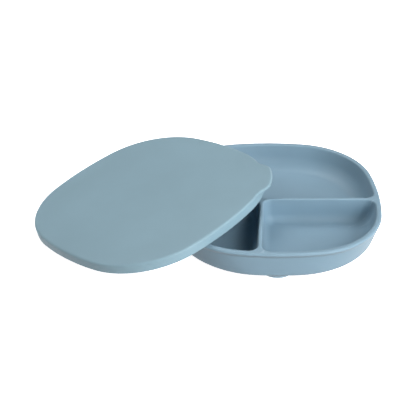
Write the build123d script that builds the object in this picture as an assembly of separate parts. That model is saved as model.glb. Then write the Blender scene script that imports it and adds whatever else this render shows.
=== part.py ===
from build123d import *
import math
import os

# A divided silicone feeding bowl with a loose lid. The bowl stands on four suction cups, and the lid
# leans on the bowl's rim with one corner on the table.
# Units are millimetres. Each piece is modelled about the bowl's own centre with the table at z = 0, and
# the set is shifted at the end so that the origin is the bottom centre of its bounding box.

# Outline: a rounded square made of eight tangent arcs
BOWL_HALF = 100.0            # half the width across the flats, at the rim
CORNER_REACH = 108.55        # centre to outline along a diagonal
CORNER_RADIUS = 73.0

# Bowl
RIM_Z = 33.0                 # top of the rim
RIM_BAND = 2.4               # height of the thicker band round the rim
RIM_STEP = 0.4               # how far the band stands out from the wall below it
RIM_WIDTH = 4.8
RIM_OUTER_ROUND = 1.6
RIM_INNER_ROUND = 1.1
BASE_Z = 4.6                 # underside of the base
FOOT_HALF = 94.8             # half width where the wall meets the base
FOOT_REACH = 99.6
FOOT_CORNER_RADIUS = 82.0
FOOT_ROUND = 3.0
FLOOR_Z = 9.6                # floor of the compartments
FLOOR_HALF = 90.6            # half width inside the walls, at floor level
FLOOR_REACH = 96.7
FLOOR_CORNER_RADIUS = 66.0
POCKET_CORNER = 9.0
FLOOR_ROUND = 8.0

# Dividers, measured at rim level
CROSS_WALL_Y = -9.0          # centre line of the wall that runs from side to side
LONG_WALL_BACK = (-11.8, -10.5)
LONG_WALL_FRONT = (-17.4, -95.0)
DIVIDER_WIDTH = 3.2
DIVIDER_FOOT_WIDTH = 6.0     # at floor level

# Suction cups, pressed into sockets under the base
CUP_CIRCLE = 75.5            # centre of the bowl to the centre of each cup
CUP_RADIUS = 14.8
CUP_EDGE = 1.5               # thickness at the rim of the flange
CUP_CREST_Z = 2.5            # height of the flange's top partway in
CUP_CREST_RADIUS = 9.5
CUP_SHOULDER_Z = 3.4         # height of the flange at the neck
CUP_HOLLOW = 1.7             # depth of the hollow under the flange
HOLLOW_BEND = (7.5, 1.1)     # radius and height of a point partway down the hollow
CUP_RING = 1.8               # width of the flat ring that seals on the table
CUP_CHAMFER = 0.4
NECK_RADIUS = 5.0
PLUG_RADIUS = 6.6
PLUG_TAPER = 0.6
PLUG_HEIGHT = 1.5
LIP_HEIGHT = 1.2             # base material below the plug, which holds it in
SOCKET_GAP = 0.3

# Lid
LID_OUT = 3.0                # how far the lid's outline stands out from the rim's
LID_HEIGHT = 9.1
PANEL = 1.5                  # thickness of the flat top
SKIRT = 2.5                  # thickness of the skirt
LID_TOP_ROUND = 1.2
LID_INNER_ROUND = 1.2
SKIRT_END_ROUND = 0.8
TAB_REACH = 7.9              # how far the tab stands out from the lid's corner
TAB_THICKNESS = 2.4
PAD_BITE = 0.8               # how far the tab's lower part reaches into the skirt
TAB_WIDTH = 41.0
TAB_SIDEWAYS = -3.0          # the tab sits a little to one side of the corner
TAB_BOW = 75.0               # radius of the tab's front edge
TAB_CORNER = 9.0
TAB_BLEND = 10.0

# Where the lid leans, from the bowl's centre
LID_TILT = 11.6              # degrees, raised towards +X
LID_X = -117.2
LID_Y = 0.6


def rounded_square(half, reach, corner_radius):
    """Face of a rounded square: four side arcs and four corner arcs, tangent where they meet."""
    corner = (reach - corner_radius) / math.sqrt(2)
    flat = half - corner_radius
    back = (2 * corner**2 - flat**2) / (2 * (flat - corner))
    side_radius = half + back
    join_angle = math.atan2(corner, corner + back)
    join_x = -back + side_radius * math.cos(join_angle)
    join_y = side_radius * math.sin(join_angle)
    arcs = []
    for quarter in range(4):
        turn = Rotation(0, 0, 90 * quarter)
        side = ThreePointArc((join_x, -join_y), (half, 0), (join_x, join_y))
        diagonal = reach / math.sqrt(2)
        round_corner = ThreePointArc((join_x, join_y), (diagonal, diagonal), (join_y, join_x))
        arcs += [turn * side, turn * round_corner]
    return make_face(Wire(arcs))


def bowl_outline(grow=0.0):
    """The rim's outline, offset outwards by grow."""
    return rounded_square(BOWL_HALF + grow, CORNER_REACH + grow, CORNER_RADIUS + grow)


def bar(start, end, width):
    """A straight strip of the given width between two points, in plan."""
    run = Vector(*end) - Vector(*start)
    middle = (Vector(*start) + Vector(*end)) / 2
    angle = math.degrees(math.atan2(run.Y, run.X))
    return Pos(middle.X, middle.Y) * Rotation(0, 0, angle) * Rectangle(run.length, width)


def compartment_plans(half, reach, corner_radius, divider_width):
    """The three compartments in plan, with rounded corners.

    Each core is a compartment shrunk by the corner rounding, and growing it back rounds its corners.
    """
    inside = rounded_square(half - POCKET_CORNER, reach - POCKET_CORNER, corner_radius - POCKET_CORNER)
    band = divider_width + 2 * POCKET_CORNER
    cross_wall = bar((-BOWL_HALF, CROSS_WALL_Y), (BOWL_HALF, CROSS_WALL_Y), band)
    long_wall = bar(LONG_WALL_BACK, LONG_WALL_FRONT, band)
    cores = (inside - cross_wall - long_wall).faces().sort_by(SortBy.AREA)
    return [offset(core, POCKET_CORNER, kind=Kind.ARC).faces()[0] for core in cores]


def make_pockets():
    """The three compartments as solids, narrower at the floor and with a rounded floor edge."""
    rim = [size - RIM_WIDTH for size in (BOWL_HALF, CORNER_REACH, CORNER_RADIUS)]
    mouths = compartment_plans(*rim, DIVIDER_WIDTH)
    bottoms = compartment_plans(FLOOR_HALF, FLOOR_REACH, FLOOR_CORNER_RADIUS, DIVIDER_FOOT_WIDTH)
    pockets = []
    for mouth, bottom in zip(mouths, bottoms):
        pocket = loft([Pos(0, 0, FLOOR_Z) * bottom, Pos(0, 0, RIM_Z) * mouth], ruled=True)
        floor_edges = pocket.faces().sort_by(Axis.Z)[0].edges()
        pockets.append(fillet(floor_edges, FLOOR_ROUND))
    return pockets


def make_bowl():
    wall_top_z = RIM_Z - RIM_BAND
    wall_top = Pos(0, 0, wall_top_z) * bowl_outline(-RIM_STEP)
    wall_foot = Pos(0, 0, BASE_Z) * rounded_square(FOOT_HALF, FOOT_REACH, FOOT_CORNER_RADIUS)
    wall = loft([wall_foot, wall_top], ruled=True)
    wall = fillet(wall.faces().sort_by(Axis.Z)[0].edges(), FOOT_ROUND)
    band = extrude(Pos(0, 0, wall_top_z) * bowl_outline(), RIM_BAND)
    body = wall + band
    for pocket in make_pockets():
        body -= pocket
    top = body.faces().sort_by(Axis.Z)[-1]
    outer_edges = top.outer_wire().edges()
    body = fillet(outer_edges, RIM_OUTER_ROUND)
    top = body.faces().sort_by(Axis.Z)[-1]
    inner_edges = [edge for wire in top.inner_wires() for edge in wire.edges()]
    body = fillet(inner_edges, RIM_INNER_ROUND)
    for place in cup_places():
        body -= place * make_socket()
    return body


def cup_places():
    """Where the four suction cups sit under the base, named by side."""
    return [Pos(0, -CUP_CIRCLE), Pos(0, CUP_CIRCLE), Pos(-CUP_CIRCLE, 0), Pos(CUP_CIRCLE, 0)]


def make_socket():
    """The undercut socket in the base that a cup's plug snaps into."""
    on_floor = (Align.CENTER, Align.CENTER, Align.MIN)
    room_height = PLUG_HEIGHT + 2 * SOCKET_GAP
    mouth = Cylinder(NECK_RADIUS + SOCKET_GAP, LIP_HEIGHT, align=on_floor)
    room = Cylinder(PLUG_RADIUS + SOCKET_GAP, room_height, align=on_floor)
    return Pos(0, 0, BASE_Z) * (mouth + Pos(0, 0, LIP_HEIGHT) * room)


def make_cup():
    """One suction cup: a thin flange hollowed underneath, a neck, and a plug."""
    plug_z = BASE_Z + LIP_HEIGHT + SOCKET_GAP
    top_z = plug_z + PLUG_HEIGHT
    ring_start = CUP_RADIUS - CUP_CHAMFER - CUP_RING
    flange_top = Spline(
        (CUP_RADIUS, CUP_EDGE),
        (CUP_CREST_RADIUS, CUP_CREST_Z),
        (NECK_RADIUS, CUP_SHOULDER_Z),
    )
    neck_and_plug = Polyline(
        (NECK_RADIUS, CUP_SHOULDER_Z),
        (NECK_RADIUS, plug_z),
        (PLUG_RADIUS, plug_z),
        (PLUG_RADIUS - PLUG_TAPER, top_z),
        (0, top_z),
        (0, CUP_HOLLOW),
    )
    hollow = Spline((0, CUP_HOLLOW), HOLLOW_BEND, (ring_start, 0))
    ring = Polyline(
        (ring_start, 0),
        (ring_start + CUP_RING, 0),
        (CUP_RADIUS, CUP_CHAMFER),
        (CUP_RADIUS, CUP_EDGE),
    )
    section = make_face(Plane.XZ * Wire([flange_top, *neck_and_plug.edges(), hollow, *ring.edges()]))
    return revolve(section, Axis.Z)


def lid_plan():
    """The lid's outline with its tab, seen from above, with the tab towards +X."""
    outline = Rotation(0, 0, 45) * bowl_outline(LID_OUT)
    tip = CORNER_REACH + LID_OUT + TAB_REACH
    strip = Pos(tip / 2, TAB_SIDEWAYS) * Rectangle(tip, TAB_WIDTH)
    tab = strip & Pos(tip - TAB_BOW, TAB_SIDEWAYS) * Circle(TAB_BOW)
    tab = fillet(tab.vertices().group_by(Axis.X)[-1], TAB_CORNER)
    grown = offset(outline + tab, TAB_BLEND, kind=Kind.INTERSECTION)
    return offset(grown, -TAB_BLEND, kind=Kind.ARC)


def tab_pad():
    """What makes the tab thicker than the lid's panel, below the panel and outside the skirt."""
    reach = CORNER_REACH + LID_OUT
    around_tab = Pos(reach, TAB_SIDEWAYS) * Rectangle(2 * (TAB_REACH + TAB_CORNER), TAB_WIDTH + TAB_BLEND)
    plan = (lid_plan() & around_tab) - Rotation(0, 0, 45) * bowl_outline(LID_OUT - PAD_BITE)
    return extrude(Pos(0, 0, LID_HEIGHT - TAB_THICKNESS) * plan, TAB_THICKNESS - PANEL)


def make_lid():
    """The lid lying flat, with its skirt end at z = 0."""
    skirt_height = LID_HEIGHT - PANEL
    skirt = Rotation(0, 0, 45) * extrude(bowl_outline(LID_OUT), skirt_height)
    hollow = Rotation(0, 0, 45) * extrude(bowl_outline(LID_OUT - SKIRT), skirt_height)
    hollow = fillet(hollow.faces().sort_by(Axis.Z)[-1].edges(), LID_INNER_ROUND)
    lid = extrude(Pos(0, 0, skirt_height) * lid_plan(), PANEL) + skirt - hollow
    lid = fillet(lid.faces().sort_by(Axis.Z)[-1].edges(), LID_TOP_ROUND)
    lid = fillet(lid.faces().sort_by(Axis.Z)[0].edges(), SKIRT_END_ROUND)
    return lid + tab_pad()


def lean(lid):
    """Tilt the lid, stand its lowest point on the table and move it to where it leans."""
    tilted = Rotation(0, -LID_TILT, 0) * lid
    drop = tilted.bounding_box().min.Z
    return Pos(LID_X, LID_Y, -drop) * tilted


nodes = {"bowl": make_bowl(), "lid": lean(make_lid())}
cup = make_cup()
for side, place in zip(("front", "back", "left", "right"), cup_places()):
    nodes[f"suction_cup_{side}"] = place * cup

box = Compound(list(nodes.values())).bounding_box()
shift = Pos(-(box.min.X + box.max.X) / 2, -(box.min.Y + box.max.Y) / 2, 0)
os.makedirs("parts", exist_ok=True)
for name, solid in nodes.items():
    export_step(shift * solid, f"parts/{name}.step")
print("shift", shift.position)
print("size", box.size)
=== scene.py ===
import math

import bmesh
import bpy
import numpy as np
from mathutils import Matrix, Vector


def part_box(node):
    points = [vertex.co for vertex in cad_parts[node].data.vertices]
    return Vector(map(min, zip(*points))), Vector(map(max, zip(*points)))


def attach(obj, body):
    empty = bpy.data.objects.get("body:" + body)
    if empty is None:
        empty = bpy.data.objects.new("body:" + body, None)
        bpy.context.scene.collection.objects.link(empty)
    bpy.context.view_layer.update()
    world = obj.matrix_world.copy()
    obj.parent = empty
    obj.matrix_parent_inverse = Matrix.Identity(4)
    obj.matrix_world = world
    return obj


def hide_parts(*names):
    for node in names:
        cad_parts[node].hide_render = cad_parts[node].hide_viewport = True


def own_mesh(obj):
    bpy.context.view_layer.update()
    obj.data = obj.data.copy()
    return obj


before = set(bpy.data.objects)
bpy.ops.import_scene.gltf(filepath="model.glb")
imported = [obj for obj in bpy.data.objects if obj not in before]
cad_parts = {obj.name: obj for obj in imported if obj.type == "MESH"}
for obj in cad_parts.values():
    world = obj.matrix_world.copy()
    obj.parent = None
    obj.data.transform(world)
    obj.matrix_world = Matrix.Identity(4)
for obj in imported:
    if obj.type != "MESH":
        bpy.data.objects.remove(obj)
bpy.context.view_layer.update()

# A divided silicone feeding bowl on four suction cups, with its lid leaning on the rim.
# All sizes are in metres. The bowl and the lid are built about their own middle and moved to where their CAD
# nodes are. The suction cups are built in place.

# Bowl
CORNER_REACH = 0.10855       # centre to the rim's outline along a diagonal
CORNER_RADIUS = 0.073
RIM_BAND = 0.0024            # height of the thicker band round the rim
RIM_STEP = 0.00025           # how far the band stands out from the wall
RIM_WIDTH = 0.0048
RIM_OUTER_ROUND = 0.0016
RIM_INNER_ROUND = 0.0013
BAND_UNDER_ROUND = 0.0002
FOOT_HALF = 0.0948
FOOT_REACH = 0.0996
FOOT_CORNER_RADIUS = 0.082
FOOT_ROUND = 0.0040
FOOT_SUPPORT = 1.5 * FOOT_ROUND  # how far in the base carries a ring that keeps its shading flat
FLOOR_ABOVE_BASE = 0.0050
FLOOR_HALF = 0.0906
FLOOR_REACH = 0.0967
FLOOR_CORNER_RADIUS = 0.066
POCKET_CORNER = 0.009
WALL_SWEEP = 0.0125          # how far the outer walls flow into the compartment floors
DIVIDER_SWEEP = 0.0070       # the same at the dividers
SWEEP_CORNER = 0.005
DIVIDER_WIDTH = 0.0032
DIVIDER_FOOT_WIDTH = 0.0060
CROSS_WALL_Y = -0.009
LONG_WALL_BACK = (-0.0118, -0.0105)
LONG_WALL_FRONT = (-0.0174, -0.0950)
WALL_RINGS = (0.33, 0.67)    # extra rings down a compartment's wall, as shares of its height
FLOOR_RINGS = (0.97, 0.90)   # extra rings on a compartment's floor, as shares of its size

# Suction cups and their sockets
CUP_SIDES = ("front", "back", "left", "right")
CUP_EDGE = 0.0015
CUP_CREST_Z = 0.0025
CUP_SHOULDER_Z = 0.0034
CUP_HOLLOW = 0.0017
CUP_RING = 0.0018
CUP_CHAMFER = 0.0004
NECK_RADIUS = 0.0050
PLUG_RADIUS = 0.0066
PLUG_HEIGHT = 0.0015
PLUG_TAPER = 0.0006
LIP_HEIGHT = 0.0012
SOCKET_GAP = 0.0003

# Lid
LID_OUT = 0.0030             # how far the lid's outline stands out from the rim's
LID_HEIGHT = 0.0091
PANEL = 0.0015
SKIRT = 0.0025
LID_TOP_ROUND = 0.0019
LID_TOP_SUPPORT = 2 * LID_TOP_ROUND  # how far in the top carries a ring that keeps its shading flat
LID_TOP_INNER = 0.015        # how far in the ring lies that the middle of the top is filled from
LID_INNER_ROUND = 0.0012
LID_INNER_SUPPORT = 2 * LID_INNER_ROUND
SKIRT_END_ROUND = 0.0008
LID_TILT = math.radians(11.6)
TAB_REACH = 0.0079
TAB_MIDDLE = -0.0040         # the tab sits a little to one side of the corner
TAB_HALF_WIDTH = 0.0295      # out to where the tab has melted into the outline
TAB_BLEND = 0.0145
TAB_BOW = 0.12               # how much the tab's front edge bows
TAB_UNDER_ROUND = 0.0004
TAB_THICKNESS = 0.0024

# Mesh density
SEGMENTS = 384               # points round an outline
FINE_SEGMENTS = 16 * SEGMENTS    # the same, where an outline is cut by a wall
CUP_SEGMENTS = 72
SOCKET_SEGMENTS = 36
ROUND_STEPS = 6
SMALL_ROUND_STEPS = 2
SWEEP_STEPS = 12
WALL_STEPS = 8
CUP_TOP_STEPS = 16
CUP_HOLLOW_STEPS = 9
STRAIGHT_STEP = 0.006        # longest stretch of a straight wall between two points

# Camera
CAMERA_ELEVATION = math.radians(33.517)
CAMERA_DISTANCE = 0.900
FOCAL_PIXELS = 930.1
IMAGE_SIDE = 416
SENSOR = 36.0
CAMERA_AIM_LEFT = 0.0620     # the view's middle is this far left of the bowl's centre
CAMERA_SHIFT_PIXELS = 14.3

# Materials
BOWL_COLOUR = (0.220, 0.343, 0.434)
LID_COLOUR = (0.250, 0.390, 0.464)
# The cups are a paler silicone, and their colour is raised further as painted light, standing in for light
# bounced up from the pale ground.
CUP_COLOUR = (0.46, 0.61, 0.70)
# Painted highlight: the colour that convex edges are lightened towards.
EDGE_HIGHLIGHT_COLOUR = (0.36, 0.50, 0.59)
ROUGHNESS = 0.5
CUP_ROUGHNESS = 0.42
ROUGHNESS_SPREAD = 0.06
SILICONE = {"IOR": 1.41, "Sheen Weight": 0.12, "Sheen Roughness": 0.45}
CLOUDS = {"Scale": 22.0, "Detail": 4.0}
CLOUD_SHADES = ((0.30, 0.965), (0.72, 1.035))    # value of the clouds, and how bright the colour is there
# Painted highlight: how far an edge's pointiness lightens it towards the highlight colour.
EDGE_HIGHLIGHT_RANGE = {"From Min": 0.51, "From Max": 0.62, "To Max": 0.55}
GRAIN = {"Scale": 1800.0, "Detail": 3.0}
GRAIN_BUMP = {"Strength": 0.12, "Distance": 0.00015}

# Ground and light
GROUND_HALF = 6.0
GROUND_SHADE = 0.92
GROUND_ROUGHNESS = 0.9
GROUND_GLOW = 0.95
WORLD_GLOW = (               # height of a direction, and the glow there
    (-1.00, 0.0),
    (-0.60, 0.0),
    (-0.30, 1.00),           # from below, the glow stands in for light that bounces off the pale ground
    (-0.05, 1.00),
    (0.10, 0.09),
    (1.00, 0.09),
)
LAMP_SIZE = 0.6
LAMP_DISTANCE = 1.3
LAMPS = (                    # name, azimuth, elevation, watts
    ("key_low", -50, 15, 9.4),
    ("key", -50, 38, 9.6),
    ("side", 15, 38, 2.6),
    ("back", 120, 62, 7.2),
    ("left", 180, 38, 2.2),
)


# ---------------------------------------------------------------- outlines

def directions(count):
    """Evenly spread outward directions, none of them along an axis."""
    angles = (np.arange(count) + 0.5) * 2 * math.pi / count
    return np.stack([np.cos(angles), np.sin(angles)], axis=1)


NORMALS = directions(SEGMENTS)


def turned(points, angle):
    """Plan points turned about the origin."""
    cosine, sine = math.cos(angle), math.sin(angle)
    return points @ np.array([[cosine, sine], [-sine, cosine]])


def rounded_square(half, reach, corner_radius, normals=NORMALS):
    """Where a rounded square of tangent side and corner arcs faces each of the given directions."""
    corner = (reach - corner_radius) / math.sqrt(2)
    flat = half - corner_radius
    back = (2 * corner**2 - flat**2) / (2 * (flat - corner))
    side_radius = half + back
    join = math.atan2(corner, corner + back)
    angle = np.arctan2(normals[:, 1], normals[:, 0])
    quarter = np.round(angle / (math.pi / 2)) * (math.pi / 2)
    local = angle - quarter
    on_side = np.abs(local) <= join
    x = np.where(on_side, -back, corner) + np.where(on_side, side_radius, corner_radius) * np.cos(local)
    y = np.where(on_side, 0.0, np.sign(local) * corner)
    y = y + np.where(on_side, side_radius, corner_radius) * np.sin(local)
    return np.stack([
        x * np.cos(quarter) - y * np.sin(quarter),
        x * np.sin(quarter) + y * np.cos(quarter),
    ], axis=1)


def grown_outline(grow):
    """The rim's outline, offset outwards by grow."""
    return rounded_square(BOWL_HALF + grow, CORNER_REACH + grow, CORNER_RADIUS + grow)


def wall_corners(outline, walls):
    """Corners of a rounded square that is cut by straight walls."""
    fine = rounded_square(*outline, normals=directions(FINE_SEGMENTS))
    following = np.roll(fine, -1, axis=0)
    corners = []
    for point, normal in walls:
        here = (fine - point) @ normal
        there = (following - point) @ normal
        for i in np.nonzero(here * there < 0)[0]:
            share = here[i] / (here[i] - there[i])
            corners.append(fine[i] + (following[i] - fine[i]) * share)
    if len(walls) == 2:
        normals = np.array([normal for _, normal in walls])
        offsets = np.array([point @ normal for point, normal in walls])
        corners.append(np.linalg.solve(normals, offsets))
    tolerance = 1e-9
    return np.array([c for c in corners if all((c - p) @ n <= tolerance for p, n in walls)])


def pocket_loop(outline, walls, rounding, grow=0.0):
    """A compartment's outline with rounded corners: its core, shrunk by the rounding, and grown back."""
    half, reach, corner_radius = (size - rounding for size in outline)
    core_walls = [(point - normal * rounding, normal) for point, normal in walls]
    edge = rounded_square(half, reach, corner_radius)
    inside = np.all([(edge - point) @ normal <= 0 for point, normal in core_walls], axis=0)
    corners = wall_corners((half, reach, corner_radius), core_walls)
    nearest = corners[np.argmax(NORMALS @ corners.T, axis=1)]
    core = np.where(inside[:, None], edge, nearest)
    return core + NORMALS * (rounding + grow)


def pocket_walls(width):
    """Walls of the back, front right and front left compartments, as points and outward normals."""
    back_end, front_end = np.array(LONG_WALL_BACK), np.array(LONG_WALL_FRONT)
    run = (front_end - back_end) / np.linalg.norm(front_end - back_end)
    leftward = np.array([run[1], -run[0]])
    cross = np.array([0.0, CROSS_WALL_Y])
    up = np.array([0.0, 1.0])
    half = width / 2
    return [
        [(cross + up * half, -up)],
        [(cross - up * half, up), (back_end - leftward * half, leftward)],
        [(cross - up * half, up), (back_end + leftward * half, -leftward)],
    ]


def at_height(loop, z):
    """A plan outline as a ring of points at one height."""
    return np.column_stack([loop, np.full(len(loop), z)])


def rounded_edge(start, corner, end, steps):
    """Rings of a circular rounding from one ring to another, round the ring where they would meet."""
    towards_start, towards_end = start - corner, end - corner
    lengths = np.linalg.norm(towards_start, axis=1) * np.linalg.norm(towards_end, axis=1)
    cosine = np.sum(towards_start * towards_end, axis=1) / np.maximum(lengths, 1e-12)
    weight = np.sqrt(np.clip((1 - cosine) / 2, 0, 1))[:, None]
    rings = []
    for t in np.linspace(0, 1, steps + 1):
        pull = 2 * weight * t * (1 - t)
        total = (1 - t) ** 2 + pull + t**2
        rings.append(((1 - t) ** 2 * start + pull * corner + t**2 * end) / total)
    return rings


def between(start, end, shares):
    """Rings at the given shares of the way from one ring to another."""
    return [start + (end - start) * share for share in shares]


def towards_middle(ring, shares):
    """Smaller copies of a ring about its middle."""
    middle = ring.mean(axis=0)
    return [middle + (ring - middle) * share for share in shares]


def with_straights_filled(rings, reference):
    """Adds points along the straight stretches, the same ones on every ring."""
    lengths = np.linalg.norm(np.roll(reference, -1, axis=0) - reference, axis=1)
    counts = np.ceil(lengths / STRAIGHT_STEP).astype(int)
    index = np.repeat(np.arange(len(reference)), counts)
    share = np.concatenate([np.arange(count) / count for count in counts])[:, None]
    return [ring[index] * (1 - share) + np.roll(ring, -1, axis=0)[index] * share for ring in rings]


# ---------------------------------------------------------------- mesh building

class Skin:
    """A mesh made of rings of points, joined by quads."""

    def __init__(self):
        self.mesh = bmesh.new()

    def ring(self, points):
        return [self.mesh.verts.new(point) for point in points]

    def join(self, first, second):
        count = len(first)
        for i in range(count):
            j = (i + 1) % count
            self.mesh.faces.new((first[i], first[j], second[j], second[i]))

    def sleeve(self, rings):
        """Joins a series of rings, and returns the first and the last."""
        made = [self.ring(points) for points in rings]
        for first, second in zip(made, made[1:]):
            self.join(first, second)
        return made[0], made[-1]

    def close(self, ring):
        """Closes a ring with a fan about its middle."""
        middle = self.mesh.verts.new(sum((v.co for v in ring), Vector()) / len(ring))
        for i, vertex in enumerate(ring):
            self.mesh.faces.new((vertex, ring[(i + 1) % len(ring)], middle))

    def fill_flat(self, rings, up):
        """Fills the flat area between an outer ring and the rings inside it."""
        edges = []
        for ring in rings:
            for i, vertex in enumerate(ring):
                edges.append(self.mesh.edges.get((vertex, ring[(i + 1) % len(ring)])))
        bmesh.ops.triangle_fill(self.mesh, edges=edges, use_beauty=True, normal=(0, 0, up))

    def finish(self, name):
        """The finished piece as a smooth-shaded object."""
        bmesh.ops.recalc_face_normals(self.mesh, faces=self.mesh.faces)
        for face in self.mesh.faces:
            face.smooth = True
        data = bpy.data.meshes.new(name)
        self.mesh.to_mesh(data)
        self.mesh.free()
        piece = bpy.data.objects.new(name, data)
        bpy.context.scene.collection.objects.link(piece)
        return piece


def circle(radius, z, centre, count):
    """A level ring of evenly spread points."""
    return at_height(directions(count) * radius + np.array(centre), z)


# ---------------------------------------------------------------- bowl

bowl_low, bowl_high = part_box("bowl")
bowl_centre = (bowl_low + bowl_high) / 2
BOWL_HALF = (bowl_high.x - bowl_low.x) / 2
RIM_Z = bowl_high.z
BASE_Z = bowl_low.z
FLOOR_Z = BASE_Z + FLOOR_ABOVE_BASE


def cup_centre(side):
    """Centre of a suction cup, from the bowl's centre."""
    low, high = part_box(f"suction_cup_{side}")
    middle = (low + high) / 2 - bowl_centre
    return middle.x, middle.y


def foot_ring(inset):
    """A ring on the flat of the base, offset inwards from the wall's foot."""
    outline = [size - inset for size in (FOOT_HALF, FOOT_REACH, FOOT_CORNER_RADIUS)]
    return at_height(rounded_square(*outline), BASE_Z)


def bowl_outside():
    """Rings from the edge of the rim's flat top, down the wall, to the flat of the base."""
    band_z = RIM_Z - RIM_BAND
    rings = rounded_edge(
        at_height(grown_outline(-RIM_OUTER_ROUND), RIM_Z),
        at_height(grown_outline(0), RIM_Z),
        at_height(grown_outline(0), RIM_Z - RIM_OUTER_ROUND),
        ROUND_STEPS,
    )
    rings += rounded_edge(
        at_height(grown_outline(0), band_z + BAND_UNDER_ROUND),
        at_height(grown_outline(0), band_z),
        at_height(grown_outline(-BAND_UNDER_ROUND), band_z),
        SMALL_ROUND_STEPS,
    )
    wall_top = at_height(grown_outline(-RIM_STEP), band_z)
    wall_foot = foot_ring(0)
    foot_share = 1 - FOOT_ROUND / (band_z - BASE_Z)
    rings += between(wall_top, wall_foot, np.linspace(0.0, foot_share, WALL_STEPS))
    rings += rounded_edge(rings[-1], wall_foot, foot_ring(FOOT_ROUND), ROUND_STEPS)[1:]
    return rings + [foot_ring(FOOT_SUPPORT)]


def pocket_inside(walls_at_rim, walls_at_foot, walls_at_floor):
    """Rings from a compartment's edge in the rim's flat top, down the wall, to its floor."""
    mouth_outline = [size - RIM_WIDTH for size in (BOWL_HALF, CORNER_REACH, CORNER_RADIUS)]
    foot_outline = (FLOOR_HALF, FLOOR_REACH, FLOOR_CORNER_RADIUS)
    floor_outline = [size - WALL_SWEEP for size in foot_outline]
    mouth = pocket_loop(mouth_outline, walls_at_rim, POCKET_CORNER)
    edge = pocket_loop(mouth_outline, walls_at_rim, POCKET_CORNER, RIM_INNER_ROUND)
    foot = pocket_loop(foot_outline, walls_at_foot, POCKET_CORNER)
    floor = pocket_loop(floor_outline, walls_at_floor, SWEEP_CORNER)
    depth = RIM_Z - FLOOR_Z
    top, bottom = at_height(mouth, RIM_Z), at_height(foot, FLOOR_Z)
    sweep = np.linalg.norm(foot - floor, axis=1)
    sweep = np.minimum(sweep, depth - 2 * RIM_INNER_ROUND)[:, None]
    wall_start = top + (bottom - top) * RIM_INNER_ROUND / depth
    wall_end = bottom + (top - bottom) * sweep / depth
    floor_edge = at_height(floor, FLOOR_Z)
    rings = rounded_edge(at_height(edge, RIM_Z), top, wall_start, ROUND_STEPS)
    rings += between(wall_start, wall_end, WALL_RINGS)
    rings += rounded_edge(wall_end, bottom, floor_edge, SWEEP_STEPS)
    rings += towards_middle(floor_edge, FLOOR_RINGS)
    return with_straights_filled(rings, top)


def socket_inside(centre):
    """Rings of the undercut socket that a suction cup's plug snaps into."""
    mouth = NECK_RADIUS + SOCKET_GAP
    room = PLUG_RADIUS + SOCKET_GAP
    lip_z = BASE_Z + LIP_HEIGHT
    ceiling_z = lip_z + PLUG_HEIGHT + 2 * SOCKET_GAP
    steps = (
        (mouth + SOCKET_GAP, BASE_Z),
        (mouth, BASE_Z + SOCKET_GAP),
        (mouth, lip_z),
        (room, lip_z),
        (room, ceiling_z),
        (room / 2, ceiling_z),
    )
    return [circle(radius, z, centre, SOCKET_SEGMENTS) for radius, z in steps]


def make_bowl():
    """The bowl, with its three compartments and the sockets in its base."""
    skin = Skin()
    rim_edge, base_edge = skin.sleeve(bowl_outside())
    pocket_edges = []
    at_rim = pocket_walls(DIVIDER_WIDTH)
    at_foot = pocket_walls(DIVIDER_FOOT_WIDTH)
    at_floor = pocket_walls(DIVIDER_FOOT_WIDTH + 2 * DIVIDER_SWEEP)
    for walls in zip(at_rim, at_foot, at_floor):
        edge, floor = skin.sleeve(pocket_inside(*walls))
        skin.fill_flat([floor], 1)
        pocket_edges.append(edge)
    socket_edges = []
    for side in CUP_SIDES:
        edge, middle = skin.sleeve(socket_inside(cup_centre(side)))
        skin.close(middle)
        socket_edges.append(edge)
    skin.fill_flat([rim_edge, *pocket_edges], 1)
    skin.fill_flat([base_edge, *socket_edges], -1)
    bowl = skin.finish("bowl_shell")
    for vertex in bowl.data.vertices:
        vertex.co.x += bowl_centre.x
        vertex.co.y += bowl_centre.y
    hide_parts("bowl")
    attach(bowl, "bowl")
    return bowl


# ---------------------------------------------------------------- suction cups

def cup_profile(radius):
    """The cup's section as radius and height, from the top of the plug to the middle of the hollow."""
    plug_z = BASE_Z + LIP_HEIGHT + SOCKET_GAP
    top_z = plug_z + PLUG_HEIGHT
    top_radius = PLUG_RADIUS - PLUG_TAPER
    profile = [(top_radius / 2, top_z), (top_radius, top_z), (PLUG_RADIUS, plug_z + PLUG_TAPER)]
    profile += [(PLUG_RADIUS, plug_z), (NECK_RADIUS, plug_z)]
    for share in np.linspace(0, 1, CUP_TOP_STEPS):
        out = NECK_RADIUS + (radius - NECK_RADIUS) * share
        bulge = 4 * share * (1 - share) * (CUP_CREST_Z - (CUP_SHOULDER_Z + CUP_EDGE) / 2)
        profile.append((out, CUP_SHOULDER_Z + (CUP_EDGE - CUP_SHOULDER_Z) * share + bulge))
    profile.append((radius, CUP_CHAMFER))
    ring_start = radius - CUP_CHAMFER - CUP_RING
    profile += [(radius - CUP_CHAMFER, 0.0), (ring_start, 0.0)]
    for share in np.linspace(0.1, 0.9, CUP_HOLLOW_STEPS):
        profile.append((ring_start * (1 - share), CUP_HOLLOW * math.sin(share * math.pi / 2)))
    return profile


def make_cup(side):
    """One suction cup, built where its CAD node is."""
    low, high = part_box(f"suction_cup_{side}")
    centre = ((low.x + high.x) / 2, (low.y + high.y) / 2)
    skin = Skin()
    rings = [circle(radius, z, centre, CUP_SEGMENTS) for radius, z in cup_profile((high.x - low.x) / 2)]
    plug_top, hollow_middle = skin.sleeve(rings)
    skin.close(plug_top)
    skin.close(hollow_middle)
    cup = skin.finish(f"suction_cup_{side}_soft")
    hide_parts(f"suction_cup_{side}")
    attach(cup, "suction_cups")
    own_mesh(cup)
    return cup


# ---------------------------------------------------------------- lid

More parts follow.
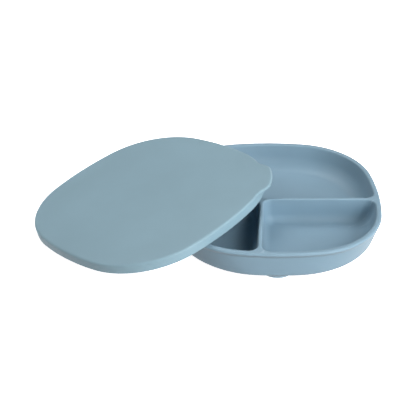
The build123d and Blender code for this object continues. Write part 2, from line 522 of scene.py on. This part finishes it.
def lid_outline(grow):
    """The lid's plain outline, with a corner towards +X, offset outwards by grow."""
    eighth = math.pi / 4
    sizes = [size + LID_OUT + grow for size in (BOWL_HALF, CORNER_REACH, CORNER_RADIUS)]
    return turned(rounded_square(*sizes, normals=turned(NORMALS, -eighth)), eighth)


def smooth_step(values):
    """An even blend from 0 to 1."""
    clipped = np.clip(values, 0, 1)
    return clipped * clipped * (3 - 2 * clipped)


def tab_share():
    """How much of the tab each point of the lid's outline carries, from 0 to 1."""
    outline = lid_outline(0)
    off_middle = np.abs(outline[:, 1] - TAB_MIDDLE)
    share = smooth_step((TAB_HALF_WIDTH - off_middle) / TAB_BLEND)
    bow = 1 - TAB_BOW * np.minimum(off_middle / TAB_HALF_WIDTH, 1) ** 2
    return np.where(outline[:, 0] > 0, share * bow, 0)


def tab_outline(inset):
    """The outline of the lid's top, which carries the tab, offset inwards by inset."""
    outline = lid_outline(0)
    outline[:, 0] += TAB_REACH * tab_share()
    along = np.roll(outline, -1, axis=0) - np.roll(outline, 1, axis=0)
    along /= np.linalg.norm(along, axis=1)[:, None]
    outwards = np.column_stack([along[:, 1], -along[:, 0]])
    return outline - outwards * np.reshape(inset, (-1, 1))


def lid_rings():
    """Rings from the middle of the lid's top, over its edge and round the skirt, to the panel's underside."""
    top, under = LID_HEIGHT, LID_HEIGHT - PANEL
    rings = [at_height(lid_outline(-LID_TOP_INNER), top), at_height(tab_outline(LID_TOP_SUPPORT), top)]
    rings += rounded_edge(
        at_height(tab_outline(LID_TOP_ROUND), top),
        at_height(tab_outline(0), top),
        at_height(tab_outline(0), top - LID_TOP_ROUND),
        ROUND_STEPS,
    )
    tab_under = top - TAB_THICKNESS
    rings += rounded_edge(
        at_height(tab_outline(0), tab_under + TAB_UNDER_ROUND),
        at_height(tab_outline(0), tab_under),
        at_height(tab_outline(TAB_UNDER_ROUND * tab_share()), tab_under),
        SMALL_ROUND_STEPS,
    )
    skirt_top = at_height(lid_outline(0), tab_under - TAB_UNDER_ROUND)
    skirt_end = at_height(lid_outline(0), SKIRT_END_ROUND)
    rings += between(skirt_top, skirt_end, (0, 0.5))
    rings += rounded_edge(
        skirt_end,
        at_height(lid_outline(0), 0),
        at_height(lid_outline(-SKIRT_END_ROUND), 0),
        ROUND_STEPS,
    )
    rings += rounded_edge(
        at_height(lid_outline(SKIRT_END_ROUND - SKIRT), 0),
        at_height(lid_outline(-SKIRT), 0),
        at_height(lid_outline(-SKIRT), SKIRT_END_ROUND),
        ROUND_STEPS,
    )
    rings += rounded_edge(
        at_height(lid_outline(-SKIRT), under - LID_INNER_ROUND),
        at_height(lid_outline(-SKIRT), under),
        at_height(lid_outline(-SKIRT - LID_INNER_ROUND), under),
        ROUND_STEPS,
    )
    return rings + [at_height(lid_outline(-SKIRT - LID_INNER_SUPPORT), under)]


def make_lid():
    """The lid, built flat and then tilted as it leans on the bowl's rim."""
    skin = Skin()
    top_flat, under_flat = skin.sleeve(lid_rings())
    skin.fill_flat([top_flat], 1)
    skin.fill_flat([under_flat], -1)
    lid = skin.finish("lid_shell")
    points = np.zeros(3 * len(lid.data.vertices))
    lid.data.vertices.foreach_get("co", points)
    points = points.reshape(-1, 3)
    cosine, sine = math.cos(LID_TILT), math.sin(LID_TILT)
    tilted = np.column_stack([
        points[:, 0] * cosine - points[:, 2] * sine,
        points[:, 1],
        points[:, 0] * sine + points[:, 2] * cosine,
    ])
    low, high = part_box("lid")
    tilted[:, 0] += low.x - tilted[:, 0].min()
    tilted[:, 1] += (low.y + high.y) / 2
    tilted[:, 2] += low.z - tilted[:, 2].min()
    lid.data.vertices.foreach_set("co", tilted.ravel())
    lid.data.update()
    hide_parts("lid")
    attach(lid, "lid")
    return lid


# ---------------------------------------------------------------- materials

def set_inputs(node, values):
    for name, value in values.items():
        node.inputs[name].default_value = value


def silicone(name, colour, roughness=ROUGHNESS):
    """Matte moulded silicone: slight colour clouds, a painted highlight that lightens convex edges, and a
    very fine grain.
    """
    material = bpy.data.materials.new(name)
    material.use_nodes = True
    nodes, links = material.node_tree.nodes, material.node_tree.links
    shader = nodes["Principled BSDF"]
    set_inputs(shader, SILICONE)
    place = nodes.new("ShaderNodeTexCoord")

    clouds = nodes.new("ShaderNodeTexNoise")
    set_inputs(clouds, CLOUDS)
    links.new(place.outputs["Object"], clouds.inputs["Vector"])
    shades = nodes.new("ShaderNodeValToRGB")
    for stop, (position, shade) in zip(shades.color_ramp.elements, CLOUD_SHADES):
        stop.position = position
        stop.color = (*[part * shade for part in colour], 1)
    links.new(clouds.outputs["Fac"], shades.inputs["Fac"])

    # Painted highlight: convex edges, found by their pointiness, are mixed towards the edge highlight colour.
    surface = nodes.new("ShaderNodeNewGeometry")
    highlight_range = nodes.new("ShaderNodeMapRange")
    set_inputs(highlight_range, EDGE_HIGHLIGHT_RANGE)
    links.new(surface.outputs["Pointiness"], highlight_range.inputs["Value"])
    highlight_tint = nodes.new("ShaderNodeMix")
    highlight_tint.data_type = "RGBA"
    highlight_tint.inputs["B"].default_value = (*EDGE_HIGHLIGHT_COLOUR, 1)
    links.new(highlight_range.outputs["Result"], highlight_tint.inputs["Factor"])
    links.new(shades.outputs["Color"], highlight_tint.inputs["A"])
    links.new(highlight_tint.outputs["Result"], shader.inputs["Base Color"])

    matte = nodes.new("ShaderNodeMapRange")
    set_inputs(matte, {"To Min": roughness - ROUGHNESS_SPREAD, "To Max": roughness + ROUGHNESS_SPREAD})
    links.new(clouds.outputs["Fac"], matte.inputs["Value"])
    links.new(matte.outputs["Result"], shader.inputs["Roughness"])

    grain = nodes.new("ShaderNodeTexNoise")
    set_inputs(grain, GRAIN)
    links.new(place.outputs["Object"], grain.inputs["Vector"])
    bump = nodes.new("ShaderNodeBump")
    set_inputs(bump, GRAIN_BUMP)
    links.new(grain.outputs["Fac"], bump.inputs["Height"])
    links.new(bump.outputs["Normal"], shader.inputs["Normal"])
    return material


def paint(piece, material):
    """Gives a piece its one material."""
    piece.data.materials.clear()
    piece.data.materials.append(material)


# ---------------------------------------------------------------- stage

def make_floor():
    """A plain pale floor that fills the view. It glows so that it stays white, and diffuse light skips it."""
    half = GROUND_HALF
    data = bpy.data.meshes.new("floor")
    corners = [(-half, -half, 0), (half, -half, 0), (half, half, 0), (-half, half, 0)]
    data.from_pydata(corners, [], [(0, 1, 2, 3)])
    floor = bpy.data.objects.new("floor", data)
    bpy.context.scene.collection.objects.link(floor)
    material = bpy.data.materials.new("pale_floor")
    material.use_nodes = True
    set_inputs(material.node_tree.nodes["Principled BSDF"], {
        "Base Color": (GROUND_SHADE, GROUND_SHADE, GROUND_SHADE, 1),
        "Roughness": GROUND_ROUGHNESS,
        "Emission Color": (1, 1, 1, 1),
        "Emission Strength": GROUND_GLOW,
    })
    paint(floor, material)
    floor.visible_diffuse = False


def add_soft_light(name, azimuth, elevation, power):
    """A soft square lamp round the bowl, at the given direction in degrees."""
    data = bpy.data.lights.new(name, "AREA")
    data.energy = power
    data.size = LAMP_SIZE
    light = bpy.data.objects.new(name, data)
    bpy.context.scene.collection.objects.link(light)
    azimuth, elevation = math.radians(azimuth), math.radians(elevation)
    level = math.cos(elevation)
    away = Vector((math.cos(azimuth) * level, math.sin(azimuth) * level, math.sin(elevation)))
    light.location = Vector((bowl_centre.x, bowl_centre.y, 0)) + away * LAMP_DISTANCE
    light.rotation_euler = away.to_track_quat("Z", "Y").to_euler()


def make_camera():
    """The camera, level from side to side and aimed a little to the left of the bowl."""
    data = bpy.data.cameras.new("camera")
    data.sensor_width = SENSOR
    data.lens = FOCAL_PIXELS * SENSOR / IMAGE_SIDE
    data.shift_y = CAMERA_SHIFT_PIXELS / IMAGE_SIDE
    camera = bpy.data.objects.new("camera", data)
    bpy.context.scene.collection.objects.link(camera)
    target = Vector((bowl_centre.x - CAMERA_AIM_LEFT, bowl_centre.y, 0))
    away = Vector((0, -math.cos(CAMERA_ELEVATION), math.sin(CAMERA_ELEVATION)))
    camera.location = target + away * CAMERA_DISTANCE
    camera.rotation_euler = (math.pi / 2 - CAMERA_ELEVATION, 0, 0)
    bpy.context.scene.camera = camera


def make_world():
    """A glow all round that changes with the height of the direction."""
    world = bpy.data.worlds.new("studio")
    world.use_nodes = True
    nodes, links = world.node_tree.nodes, world.node_tree.links
    background = nodes["Background"]
    place = nodes.new("ShaderNodeTexCoord")
    split = nodes.new("ShaderNodeSeparateXYZ")
    height = nodes.new("ShaderNodeMapRange")
    set_inputs(height, {"From Min": -1.0})
    glow = nodes.new("ShaderNodeValToRGB")
    stops = glow.color_ramp.elements
    while len(stops) < len(WORLD_GLOW):
        stops.new(0.5)
    for stop, (z, strength) in zip(stops, WORLD_GLOW):
        stop.position = (z + 1) / 2
        stop.color = (strength, strength, strength, 1)
    links.new(place.outputs["Generated"], split.inputs["Vector"])
    links.new(split.outputs["Z"], height.inputs["Value"])
    links.new(height.outputs["Result"], glow.inputs["Fac"])
    links.new(glow.outputs["Color"], background.inputs["Color"])
    bpy.context.scene.world = world


# ---------------------------------------------------------------- the scene

bowl_silicone = silicone("bowl_silicone_matte", BOWL_COLOUR)
lid_silicone = silicone("lid_silicone_matte", LID_COLOUR)
cup_silicone = silicone("cup_silicone_matte", CUP_COLOUR, CUP_ROUGHNESS)

make_camera()
paint(make_bowl(), bowl_silicone)
paint(make_lid(), lid_silicone)
for cup_side in CUP_SIDES:
    paint(make_cup(cup_side), cup_silicone)
paint(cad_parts["bowl"], bowl_silicone)
paint(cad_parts["lid"], lid_silicone)
for cup_side in CUP_SIDES:
    paint(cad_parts[f"suction_cup_{cup_side}"], cup_silicone)
make_floor()
make_world()
for lamp in LAMPS:
    add_soft_light(*lamp)
bpy.context.scene.view_settings.view_transform = "Standard"
